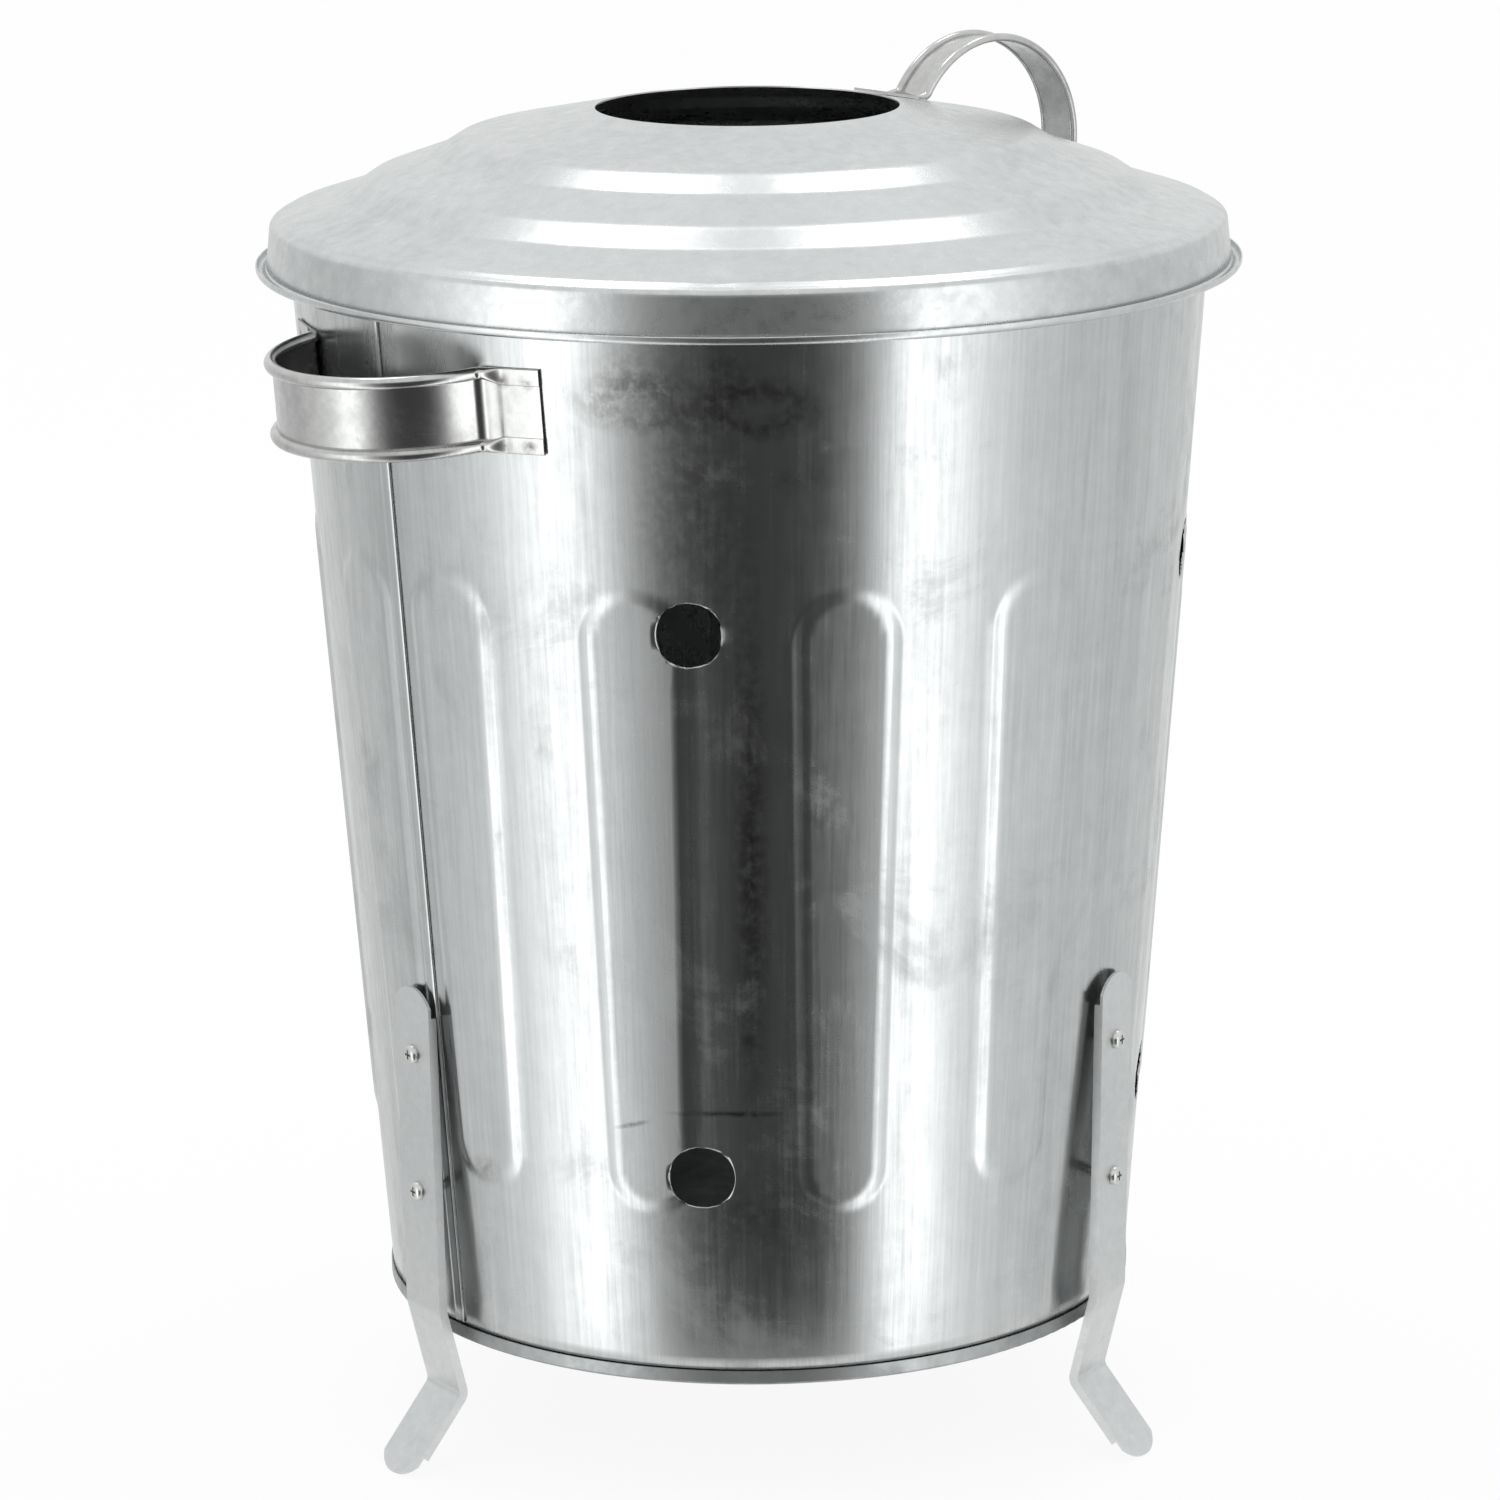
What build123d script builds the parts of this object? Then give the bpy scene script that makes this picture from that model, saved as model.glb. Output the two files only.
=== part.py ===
"""A galvanised steel compost bin: tapered body on three legs, strap handles, loose stepped lid.

Millimetres, +Z up. The origin is on the ground under the body's axis. The side handles lie on
the X axis. A compass angle is counted from -Y towards +X, so 0 is the front and 90 is +X.
"""
from build123d import *

import os
from math import asin, atan2, cos, degrees, hypot, radians, sin, sqrt

os.makedirs("parts", exist_ok=True)

# Sheet and clearances
sheet = 0.7                 # galvanised sheet of the body, base and lid
lap_gap = 0.15              # left between two sheets that lie on each other
fit_gap = 0.3               # left round the rim and the base hem

# Body wall, outer surface
wall_bottom_z = 66.3
wall_bottom_r = 184.85
wall_slope = 0.07365        # growth of the radius with height

# Lap seams between the two half sheets, in degrees
seam_lap = 2.0              # width of the raised lap
seam_joggle = 0.4           # width of the step up to it
seam_gap = 0.1
seam_top_z = 590.0
seam_bottom_z = 74.0

# Rolled rim round a wire
rim_curl_r = 3.5
rim_wire_r = 2.5
rim_curl_end = -130.0       # degrees, where the curl stops on its lower side

# Raised flutes of each half sheet
flute_count = 7
flute_pitch = 26.98         # degrees
flute_shift = -0.46         # the row stands this far off the middle of the sheet
flute_top_z = 458.0
flute_bottom_z = 152.0
flute_top_r = 20.7          # round ends of the crown
flute_bottom_r = 16.0
flute_side = 6.3            # width of the sloped border at the sides
flute_end = 5.5             # and at the ends
flute_height = 1.3
flute_flatness = 2.0        # radius of the crown over that of the wall
flute_reach = 3.0           # the pressing starts this far behind the wall
flute_over = 0.2            # and ends this far above its crown

# Round vents of each half sheet
vent_r = 15.75
vent_rows = (170.9, 437.4)
vent_columns = (-47.2, 42.8)

# Base pan hemmed round the wall's foot
floor_z = 73.2
hem_top_z = 72.3
hem_bend_r = 0.9

# Legs, outer face of the strip in the upright plane through it
leg_names = {"leg_right": 20.1, "leg_rear": 142.9, "leg_left": -94.3}
leg_sheet = 1.5
leg_face_width = 30.0
leg_flange = 4.5            # depth of the turned-back edges
leg_end_r = 18.0            # flat round ends
leg_end_length = 13.0       # flat part beyond the turned-back edges
leg_top = (202.8, 244.0)
leg_kink = (200.4, 81.0)
leg_ankle = (189.4, 37.5)
leg_toe = (220.7, 0.3)      # the lower face is trimmed flat at the ground
leg_bend_r = 4.0
leg_wall_gap = 1.9          # leaves room for the flutes

# Leg screws and nuts
screw_rows = (141.0, 210.5)
screw_r = 2.5
screw_hole_r = 2.8
screw_length = 18.0
screw_head_r = 4.75
screw_head_h = 3.2
screw_head_round = 2.6
screw_recess_length = 4.6
screw_recess_width = 1.1
screw_recess_depth = 1.5
screw_seat = 0.1
nut_flats_r = 4.0
nut_h = 4.0
nut_seat = 0.35
thread_gap = 0.05

# Side handles, middle of the strap in plan
grip_names = {"side_handle_left": -90.0, "side_handle_right": 90.0}
grip_sheet = 1.0
grip_z = 538.0
grip_height = 40.0
grip_loop_r = 64.0
grip_loop_x = 203.0
grip_bend_r = 7.0
grip_tab_angle = 25.3       # end of each tab, in degrees from the handle's middle
grip_bead_r = 3.0           # rolled edge
grip_bead_out = 1.2
grip_hem_width = 8.0
grip_hem_rise = 0.4
grip_hem_inset = 0.2
grip_seat = 0.35            # tab off the wall, which tapers more than the bent strap
grip_flare = 2.2            # degrees of tab on which the bead is pressed flat

# Spot welds
weld_r = 2.6
weld_depth = 0.35
grip_weld_angles = (20.2, 23.6)
grip_weld_rise = 15.0
bow_weld_inset = 9.0
bow_weld_side = 7.0

# Lid, outer surface as radius and height, from the hole to the skirt's foot
lid_points = [
    (73.7, 652.0), (139.3, 639.4), (152.2, 631.4), (182.7, 620.8),
    (195.0, 612.4), (226.2, 602.6), (231.9, 599.4), (234.1, 578.6),
]
lid_radii = [14.0, 10.0, 14.0, 10.0, 6.0, 3.2]
gutter_r = 240.0            # outside of the open gutter round the skirt's foot
gutter_bead_r = 1.1
gutter_rise = 1.0           # middle of the bead above the skirt's foot

# Lid handle in the upright plane through +X, middle of the strap
bow_sheet = 1.0
bow_width = 25.0
bow_r = 52.3
bow_centre = (151.0, 619.9)
bow_bend_r = 4.5
bow_tab_from = 78.5
bow_tab_to = 222.0
bow_bead_r = 2.0
bow_bead_out = 0.8
bow_hem_width = 5.0
bow_hem_rise = 0.3
bow_flare = 5.0
bow_seat = 0.15


# Shared geometry

def wall_r(z):
    """Outer radius of the wall at a height."""
    return wall_bottom_r + wall_slope * (z - wall_bottom_z)


def compass(angle):
    """Plan direction of a compass angle."""
    return Vector(sin(radians(angle)), -cos(radians(angle)), 0)


def radial_plane(angle):
    """Upright plane through the axis, with its x outward at a compass angle and its y up."""
    out = compass(angle)
    return Plane(origin=(0, 0, 0), x_dir=out, z_dir=out.cross(Vector(0, 0, 1)))


def facing_plane(angle, radius, z):
    """Plane that faces outward at a compass angle, with its y up."""
    out = compass(angle)
    return Plane(origin=out * radius + Vector(0, 0, z), x_dir=Vector(0, 0, 1).cross(out), z_dir=out)


def shifted(points, distance):
    """Corners of a bent line moved sideways, to the left of its run if the distance is positive."""
    runs = [Vector(b[0] - a[0], b[1] - a[1]).normalized() for a, b in zip(points, points[1:])]
    moved = []
    for index, point in enumerate(points):
        before = runs[max(index - 1, 0)]
        after = runs[min(index, len(runs) - 1)]
        left = Vector(-before.Y - after.Y, before.X + after.X)
        reach = distance * 2 / (left.X ** 2 + left.Y ** 2)
        moved.append((point[0] + left.X * reach, point[1] + left.Y * reach))
    return moved


def bent_section(near, near_radii, far, far_radii):
    """Face between two bent lines."""
    with BuildLine() as outline:
        FilletPolyline(*near, radius=near_radii)
        FilletPolyline(*far, radius=far_radii)
        Line(near[0], far[0])
        Line(near[-1], far[-1])
    make_face(outline.edges())


def on_circle(centre, radius, angle):
    """Point of a circle at an angle from the sketch's x."""
    return (centre[0] + radius * cos(radians(angle)), centre[1] + radius * sin(radians(angle)))


def save(part, name):
    """Label a piece and write its file."""
    part.label = name
    export_step(part, f"parts/{name}.step")


# Rim, placed under the lid's shoulder
shoulder, skirt_top = lid_points[-3], lid_points[-2]
shoulder_slope = (shoulder[1] - skirt_top[1]) / (skirt_top[0] - shoulder[0])
rim_drop = (sheet + fit_gap + rim_curl_r) * hypot(1, shoulder_slope)
rim_offset = rim_curl_r - sheet
rim_level = shoulder[1] - rim_drop
rim_run = wall_r(0) + rim_offset - shoulder[0]
rim_z = (rim_level - rim_run * shoulder_slope) / (1 + wall_slope * shoulder_slope)
rim_r = wall_r(rim_z) + rim_offset


# Body: the half sheets

flute_mid_z = (flute_top_z + flute_bottom_z) / 2
flute_half = (flute_top_z - flute_bottom_z) / 2
flute_wall_r = wall_r(flute_mid_z)
crown_edge = flute_height - flute_top_r ** 2 / (2 * flute_flatness * flute_wall_r)
wall_edge = -(flute_top_r + flute_side) ** 2 / (2 * flute_wall_r)
flute_side_run = flute_side / (crown_edge - wall_edge)
flute_end_run = flute_end / flute_height


def flute_outline(base, level):
    """Tapered slot round the flute at a level above the wall."""
    side_grow = (crown_edge - level) * flute_side_run
    end = flute_half - flute_end + (flute_height - level) * flute_end_run
    top_r = flute_top_r + side_grow
    bottom_r = flute_bottom_r + side_grow
    with BuildSketch(base.offset(level)) as outline:
        with Locations((0, end - top_r)):
            Circle(top_r)
        with Locations((0, bottom_r - end)):
            Circle(bottom_r)
        make_hull()
    return outline.sketch


def make_flute(inset):
    """Pressing at the front whose outer side is the flute's skin, moved inward by an inset."""
    out = Vector(0, -1, -wall_slope).normalized()
    base = Plane(origin=(0, -flute_wall_r, flute_mid_z), x_dir=(1, 0, 0), z_dir=out).offset(-inset)
    crown_r = flute_flatness * flute_wall_r
    centre = base.origin + out * (flute_height - crown_r)
    with BuildPart() as flute:
        add(flute_outline(base, flute_height + flute_over))
        add(flute_outline(base, -flute_reach))
        loft(ruled=True)
        with BuildSketch(Plane(origin=centre, x_dir=(1, 0, 0), z_dir=base.y_dir)):
            Circle(crown_r)
        extrude(amount=flute_half * 2, both=True, mode=Mode.INTERSECT)
    return flute.part


def wall_core(inset, over):
    """Section of the solid inside a wall surface, from the axis outwards."""
    bottom = wall_bottom_z - over
    top = rim_z + over
    Polygon((0, bottom), (wall_r(bottom) - inset, bottom), (wall_r(top) - inset, top), (0, top), align=None)


def seam_section(inner, outer):
    """Strip along the wall between two distances from its outer surface."""
    Polygon(
        (wall_r(seam_bottom_z) + inner, seam_bottom_z), (wall_r(seam_bottom_z) + outer, seam_bottom_z),
        (wall_r(seam_top_z) + outer, seam_top_z), (wall_r(seam_top_z) + inner, seam_top_z), align=None,
    )


def radial_bores(radius, angles, heights):
    """Cylinders from the axis outward through the wall."""
    with Locations(*[facing_plane(angle, 0, z) for angle in angles for z in heights]):
        Cylinder(radius, 2 * rim_r, align=(Align.CENTER, Align.CENTER, Align.MIN), mode=Mode.SUBTRACT)


def make_half_sheet():
    """Front half of the body: fluted wall, rolled rim, plain edge at one seam, raised lap at the other."""
    start = -90 - seam_lap + seam_gap
    joggle = 90 - seam_lap - seam_gap
    flute_row = (flute_count - 1) / 2 * flute_pitch
    flute_places = [Location((0, 0, 0), (0, 0, flute_shift - flute_row + flute_pitch * k)) for k in range(flute_count)]
    with BuildPart() as wall:
        with BuildSketch(radial_plane(start)):
            wall_core(0, 0)
        revolve(axis=Axis.Z, revolution_arc=joggle - start)
        with Locations(*flute_places):
            add(flute_skin)
        with BuildSketch(radial_plane(180)):
            wall_core(sheet, 1)
        revolve(axis=Axis.Z, revolution_arc=360, mode=Mode.SUBTRACT)
        with Locations(*flute_places):
            add(flute_hollow, mode=Mode.SUBTRACT)
        with BuildSketch(radial_plane(joggle)):
            wall_core(-sheet - flute_height, 1)
        revolve(axis=Axis.Z, revolution_arc=360 - joggle + start, mode=Mode.SUBTRACT)
    with BuildPart() as half:
        add(wall)
        with BuildSketch(radial_plane(start)):
            with BuildLine():
                CenterArc((rim_r, rim_z), rim_curl_r - sheet / 2, rim_curl_end, 180 - rim_curl_end)
            trace(line_width=sheet)
        revolve(axis=Axis.Z, revolution_arc=joggle - start)
        with BuildSketch(radial_plane(joggle - seam_joggle)):
            seam_section(-sheet, lap_gap + sheet)
        revolve(axis=Axis.Z, revolution_arc=seam_joggle)
        with BuildSketch(radial_plane(joggle - seam_joggle)):
            seam_section(lap_gap, lap_gap + sheet)
        revolve(axis=Axis.Z, revolution_arc=seam_joggle + seam_gap + seam_lap)
        radial_bores(vent_r, vent_columns, vent_rows)
    return half.part


def make_body_sheet(half, middle, name):
    """Half sheet turned to its side of the body and drilled for the leg screws."""
    with BuildPart() as body:
        add(half.rotate(Axis.Z, middle))
        radial_bores(screw_hole_r, leg_names.values(), screw_rows)
    save(body.part, name)


flute_skin = make_flute(0)
flute_hollow = make_flute(sheet)
half_sheet = make_half_sheet()
make_body_sheet(half_sheet, 0, "body_sheet_front")
make_body_sheet(half_sheet, 180, "body_sheet_back")


# Body: rim wire and base pan

def make_rim_wire():
    """Wire inside the rolled rim."""
    with BuildPart() as wire:
        with BuildSketch(Plane.XZ):
            with Locations((rim_r, rim_z)):
                Circle(rim_wire_r)
        revolve(axis=Axis.Z, revolution_arc=360)
    save(wire.part, "rim_wire")


def make_base_pan():
    """Floor disc whose edge is hemmed round the foot of the wall."""
    hem_outer = wall_r(hem_top_z) + fit_gap + sheet / 2
    hem_inner = wall_bottom_r - sheet - fit_gap - sheet / 2
    hem_z = wall_bottom_z - fit_gap - sheet / 2
    floor_mid = floor_z - sheet / 2
    with BuildPart() as pan:
        with BuildSketch(Plane.XZ):
            with BuildLine():
                FilletPolyline(
                    (hem_outer, hem_top_z), (hem_outer, hem_z), (hem_inner, hem_z), (hem_inner, floor_mid),
                    (0, floor_mid), radius=hem_bend_r,
                )
            trace(line_width=sheet)
        revolve(axis=Axis.Z, revolution_arc=360)
    save(pan.part, "base_pan")


make_rim_wire()
make_base_pan()


# Legs

def leg_run(points):
    """Directions of the first and last straight of the leg's line."""
    head = Vector(points[1][0] - points[0][0], points[1][1] - points[0][1]).normalized()
    foot = Vector(points[-1][0] - points[-2][0], points[-1][1] - points[-2][1]).normalized()
    return head, foot


leg_head_run, leg_foot_run = leg_run([leg_top, leg_kink, leg_ankle, leg_toe])
leg_line = [
    (leg_top[0] + leg_head_run.X * leg_end_length, leg_top[1] + leg_head_run.Y * leg_end_length),
    leg_kink,
    leg_ankle,
    (leg_toe[0] - leg_foot_run.X * leg_end_length, leg_toe[1] - leg_foot_run.Y * leg_end_length),
]


def leg_section(near, far):
    """Section of the leg between two depths behind its outer face."""
    near_radii = [leg_bend_r + leg_flange - near, leg_bend_r + near]
    far_radii = [leg_bend_r + leg_flange - far, leg_bend_r + far]
    bent_section(shifted(leg_line, -near), near_radii, shifted(leg_line, -far), far_radii)


def make_leg(angle, name):
    """Folded strip, bent in under the body and out again as a foot."""
    with BuildPart() as leg:
        with BuildSketch(Plane.XZ):
            leg_section(0, leg_flange)
        extrude(amount=leg_face_width / 2, both=True)
        with BuildSketch(Plane.XZ):
            leg_section(leg_sheet, leg_flange + leg_sheet)
        extrude(amount=leg_face_width / 2 - leg_sheet, both=True, mode=Mode.SUBTRACT)
        for tip, run in ((leg_top, -leg_head_run), (leg_toe, leg_foot_run)):
            along = Vector(run.X, 0, run.Y)
            outward = Vector(abs(run.Y), 0, run.X if run.Y < 0 else -run.X)
            face = Plane(origin=(tip[0], 0, tip[1]), x_dir=along, z_dir=outward)
            with BuildSketch(face):
                with Locations((-leg_end_r, 0)):
                    Circle(leg_end_r)
                with Locations((0, 0)):
                    Rectangle(2 * leg_end_length, leg_face_width, mode=Mode.INTERSECT)
            extrude(amount=-leg_sheet)
        with BuildSketch(Plane.XZ):
            Polygon((0, 0), (wall_r(0) + leg_wall_gap, 0), (wall_r(rim_z) + leg_wall_gap, rim_z), (0, rim_z), align=None)
        revolve(axis=Axis.Z, revolution_arc=360, mode=Mode.SUBTRACT)
        with Locations((leg_toe[0], 0, 0)):
            Box(rim_r, rim_r, leg_end_r, align=(Align.CENTER, Align.CENTER, Align.MAX), mode=Mode.SUBTRACT)
        radial_bores(screw_hole_r, [90], screw_rows)
    save(leg.part.rotate(Axis.Z, angle - 90), name)


for leg_name, leg_angle in leg_names.items():
    make_leg(leg_angle, leg_name)


def leg_face_r(z):
    """Radius of the leg's outer face at a height of its upper straight."""
    return leg_kink[0] + (leg_top[0] - leg_kink[0]) * (z - leg_kink[1]) / (leg_top[1] - leg_kink[1])


# Leg screws and nuts

def make_screw():
    """Round-head screw that points down, its head standing on the origin."""
    with BuildPart() as screw:
        Cylinder(screw_head_r, screw_head_h, align=(Align.CENTER, Align.CENTER, Align.MIN))
        fillet(screw.edges().sort_by(Axis.Z)[-1], screw_head_round)
        Cylinder(screw_r, screw_length, align=(Align.CENTER, Align.CENTER, Align.MAX))
        with BuildSketch(Plane.XY.offset(screw_head_h)):
            Rectangle(screw_recess_length, screw_recess_width)
            Rectangle(screw_recess_width, screw_recess_length)
        extrude(amount=-screw_recess_depth, mode=Mode.SUBTRACT)
    return screw.part


def make_screws():
    """All leg screws, heads on the legs."""
    screw = make_screw()
    seats = [facing_plane(a, leg_face_r(z) + screw_seat, z) for a in leg_names.values() for z in screw_rows]
    with BuildPart() as screws:
        with Locations(*seats):
            add(screw)
    save(screws.part, "leg_screws")


def make_nuts():
    """All nuts, inside the wall."""
    seats = [facing_plane(a, wall_r(z) - sheet - nut_seat, z) for a in leg_names.values() for z in screw_rows]
    with BuildPart() as nuts:
        for seat in seats:
            with BuildSketch(seat):
                RegularPolygon(nut_flats_r, 6, major_radius=False)
                Circle(screw_r + thread_gap, mode=Mode.SUBTRACT)
            extrude(amount=-nut_h)
    save(nuts.part, "leg_nuts")


make_screws()
make_nuts()


# Side handles

grip_out = Vector(1, 0, -wall_slope).normalized()
grip_up = Vector(wall_slope, 0, 1).normalized()
grip_origin = Vector(wall_r(grip_z), 0, grip_z) - grip_out * wall_r(grip_z)
grip_plan = Plane(origin=grip_origin, x_dir=grip_out, z_dir=grip_up)
grip_tab_r = wall_r(grip_z) + grip_seat + grip_sheet / 2
grip_bead_rise = grip_height / 2 - grip_bead_r
grip_hem_rise_mid = (grip_height - grip_hem_width) / 2

# Where the loop's circle meets the tab's circle through the bend between them
bend_far = grip_tab_r + grip_bend_r
bend_near = grip_loop_r + grip_bend_r
bend_cosine = (grip_loop_x ** 2 + bend_far ** 2 - bend_near ** 2) / (2 * grip_loop_x * bend_far)
bend_turn = 90 - degrees(asin(bend_cosine))
bend_centre = on_circle((0, 0), bend_far, bend_turn)
loop_turn = degrees(atan2(bend_centre[1], bend_centre[0] - grip_loop_x))


def grip_line(out, side_angle=0.0):
    """Line along the handle in plan, moved outward; with a side angle the tabs are drawn too."""
    CenterArc((grip_loop_x, 0), grip_loop_r + out, -loop_turn, 2 * loop_turn)
    for side in (1, -1):
        middle = (bend_centre[0], side * bend_centre[1])
        CenterArc(middle, grip_bend_r - out, 180 + side * bend_turn, side * (loop_turn - bend_turn))
        if side_angle:
            CenterArc((0, 0), grip_tab_r + out, side * bend_turn, side * (side_angle - bend_turn))


def grip_section_plane(angle, out, rise):
    """Plane across the tab at an angle from the handle's middle."""
    point = on_circle((0, 0), grip_tab_r + out, angle)
    radial = on_circle((0, 0), 1, angle)
    centre = grip_origin + grip_out * point[0] + Vector(0, point[1], 0) + grip_up * rise
    return Plane(origin=centre, x_dir=grip_out * radial[0] + Vector(0, radial[1], 0), z_dir=grip_out * -radial[1] + Vector(0, radial[0], 0))


def make_side_handle(angle, name):
    """Strap bowed out from the wall, edges rolled to beads that are pressed flat on the tabs."""
    hem_from = bend_turn + grip_flare
    hem_thickness = grip_sheet + grip_hem_rise
    with BuildPart() as handle:
        with BuildSketch(grip_plan):
            with BuildLine():
                grip_line(0, grip_tab_angle)
            trace(line_width=grip_sheet)
        extrude(amount=grip_bead_rise, both=True)
        for level in (grip_bead_rise, -grip_bead_rise):
            with BuildLine(grip_plan.offset(level)) as bead:
                grip_line(grip_bead_out)
            bead_path = bead.wires()[0]
            with BuildSketch(Plane(origin=bead_path @ 0, z_dir=bead_path % 0)):
                Circle(grip_bead_r)
            sweep(path=bead_path)
        for side in (1, -1):
            for edge in (1, -1):
                with BuildSketch(grip_section_plane(side * bend_turn, grip_bead_out, edge * grip_bead_rise)):
                    Circle(grip_bead_r)
                with BuildSketch(grip_section_plane(side * hem_from, grip_hem_inset * 2, edge * grip_hem_rise_mid)):
                    Ellipse(hem_thickness / 2, grip_hem_width / 2)
                loft()
                hem_bottom = edge * grip_hem_rise_mid - grip_hem_width / 2
                with BuildSketch(grip_plan.offset(hem_bottom)):
                    with BuildLine():
                        reach = side * (grip_tab_angle - hem_from + grip_flare / 4)
                        CenterArc((0, 0), grip_tab_r + grip_hem_rise / 2, side * (hem_from - grip_flare / 4), reach)
                    trace(line_width=hem_thickness)
                extrude(amount=grip_hem_width)
        with BuildSketch(Plane.XZ):
            Polygon((0, 0), (wall_r(0) + lap_gap, 0), (wall_r(rim_z) + lap_gap, rim_z), (0, rim_z), align=None)
        revolve(axis=Axis.Z, revolution_arc=360, mode=Mode.SUBTRACT)
        dents = [
            grip_section_plane(side * turn, grip_sheet / 2 + grip_hem_rise - weld_depth, edge * grip_weld_rise)
            for side in (1, -1) for turn in grip_weld_angles for edge in (1, -1)
        ]
        with Locations(*[Plane(origin=dent.origin, z_dir=dent.x_dir) for dent in dents]):
            Cylinder(weld_r, grip_sheet, align=(Align.CENTER, Align.CENTER, Align.MIN), mode=Mode.SUBTRACT)
    save(handle.part.rotate(Axis.Z, angle - 90), name)


for grip_name, grip_angle in grip_names.items():
    make_side_handle(grip_angle, grip_name)


# Lid

lid_middle = shifted(lid_points, -sheet / 2)


def make_lid():
    """Pressed cover with two steps, a skirt over the rim and an open gutter round its foot."""
    foot_r, foot_z = lid_middle[-1]
    lip_r = gutter_r - sheet / 2
    turn_r = (lip_r - foot_r) / 2
    bead_z = foot_z + gutter_rise
    with BuildPart() as lid:
        with BuildSketch(Plane.XZ):
            with BuildLine():
                FilletPolyline(*lid_middle, radius=lid_radii)
                CenterArc((foot_r + turn_r, foot_z), turn_r, 180, 180)
                Line((lip_r, foot_z), (lip_r, bead_z))
            trace(line_width=sheet)
            with Locations((gutter_r - gutter_bead_r, bead_z)):
                Circle(gutter_bead_r)
        revolve(axis=Axis.Z, revolution_arc=360)
    save(lid.part, "lid")


make_lid()


# Lid handle

def bow_foot(surface, tab_end, side):
    """Points of one foot: tab end, bend start, bend middle, bend end, and the bend's centre."""
    start, end = shifted(surface, bow_seat + bow_sheet / 2)
    run = Vector(end[0] - start[0], end[1] - start[1]).normalized()
    lift = Vector(-run.Y, run.X)
    centre = Vector(*bow_centre)
    base = Vector(*start) + lift * bow_bend_r
    across = run.dot(base - centre)
    spare = (base - centre).length ** 2 - (bow_r + bow_bend_r) ** 2
    travel = -across + side * sqrt(across ** 2 - spare)
    middle = base + run * travel
    bend_start = middle - lift * bow_bend_r
    toward = (centre - middle).normalized()
    bend_end = middle + toward * bow_bend_r
    bend_mid = middle + (toward - lift).normalized() * bow_bend_r
    tip = Vector(*start) + run * ((tab_end - start[0]) / run.X)
    return {"tip": tip, "start": bend_start, "mid": bend_mid, "end": bend_end, "run": run * side, "lift": lift,
            "centre": middle}


bow_inner = bow_foot(lid_points[0:2], bow_tab_from, -1)
bow_outer = bow_foot(lid_points[4:6], bow_tab_to, 1)


def bow_line(out, tabs):
    """Line along the lid handle in its upright plane, moved outward."""
    angles = []
    for foot in (bow_inner, bow_outer):
        middle = foot["centre"]
        bend = [middle + (foot[key] - middle) * ((bow_bend_r - out) / bow_bend_r) for key in ("start", "mid", "end")]
        ThreePointArc(*[(point.X, point.Y) for point in bend])
        if tabs:
            Line(bend[0], foot["tip"] + foot["lift"] * out)
        rise = foot["end"] - Vector(*bow_centre)
        angles.append(degrees(atan2(rise.Y, rise.X)))
    CenterArc(bow_centre, bow_r + out, angles[1], angles[0] - angles[1])


def bow_section_plane(foot, along, out, offset):
    """Plane across a tab at a distance past its bend, with its x up from the lid."""
    flat = foot["start"] + foot["run"] * along + foot["lift"] * out
    lift = Vector(foot["lift"].X, 0, foot["lift"].Y)
    return Plane(origin=(flat.X, offset, flat.Y), x_dir=lift, z_dir=(foot["run"].X, 0, foot["run"].Y))


def make_lid_handle():
    """Strap bowed over the lid from near the hole to near the rim."""
    bead_offset = bow_width / 2 - bow_bead_r
    hem_offset = (bow_width - bow_hem_width) / 2
    hem_thickness = bow_sheet + bow_hem_rise
    with BuildPart() as bow:
        with BuildSketch(Plane.XZ):
            with BuildLine():
                bow_line(0, True)
            trace(line_width=bow_sheet)
        extrude(amount=bead_offset, both=True)
        for side in (1, -1):
            with BuildLine(Plane.XZ.offset(-side * bead_offset)) as bead:
                bow_line(bow_bead_out, False)
            bead_wire = bead.wires()[0]
            with BuildSketch(Plane(origin=bead_wire @ 0, z_dir=bead_wire % 0)):
                Circle(bow_bead_r)
            sweep(path=bead_wire)
            for foot in (bow_inner, bow_outer):
                length = (foot["tip"] - foot["start"]).length
                with BuildSketch(bow_section_plane(foot, 0, bow_bead_out, side * bead_offset)):
                    Circle(bow_bead_r)
                with BuildSketch(bow_section_plane(foot, bow_flare, bow_hem_rise / 2, side * hem_offset)):
                    Ellipse(hem_thickness / 2, bow_hem_width / 2)
                loft()
                with BuildSketch(bow_section_plane(foot, bow_flare * 0.75, bow_hem_rise / 2, side * hem_offset)):
                    Rectangle(hem_thickness, bow_hem_width)
                extrude(amount=length - bow_flare * 0.75)
        with BuildSketch(Plane.XZ):
            with BuildLine():
                surface = shifted(lid_points[0:6], bow_seat)
                Polyline(*surface, (surface[-1][0], bow_centre[1] - bow_r), (surface[0][0], bow_centre[1] - bow_r), close=True)
            make_face()
        extrude(amount=bow_width, both=True, mode=Mode.SUBTRACT)
        dents = [
            bow_section_plane(foot, (foot["tip"] - foot["start"]).length - bow_weld_inset, bow_sheet / 2 - weld_depth, spot)
            for foot in (bow_inner, bow_outer) for spot in (bow_weld_side, -bow_weld_side)
        ]
        with Locations(*[Plane(origin=dent.origin, z_dir=dent.x_dir) for dent in dents]):
            Cylinder(weld_r, bow_sheet, align=(Align.CENTER, Align.CENTER, Align.MIN), mode=Mode.SUBTRACT)
    save(bow.part, "lid_handle")


make_lid_handle()
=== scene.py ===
"""Dressed scene of the galvanised compost bin: smooth sheet metal pieces, zinc finishes, studio."""

from math import radians

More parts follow.
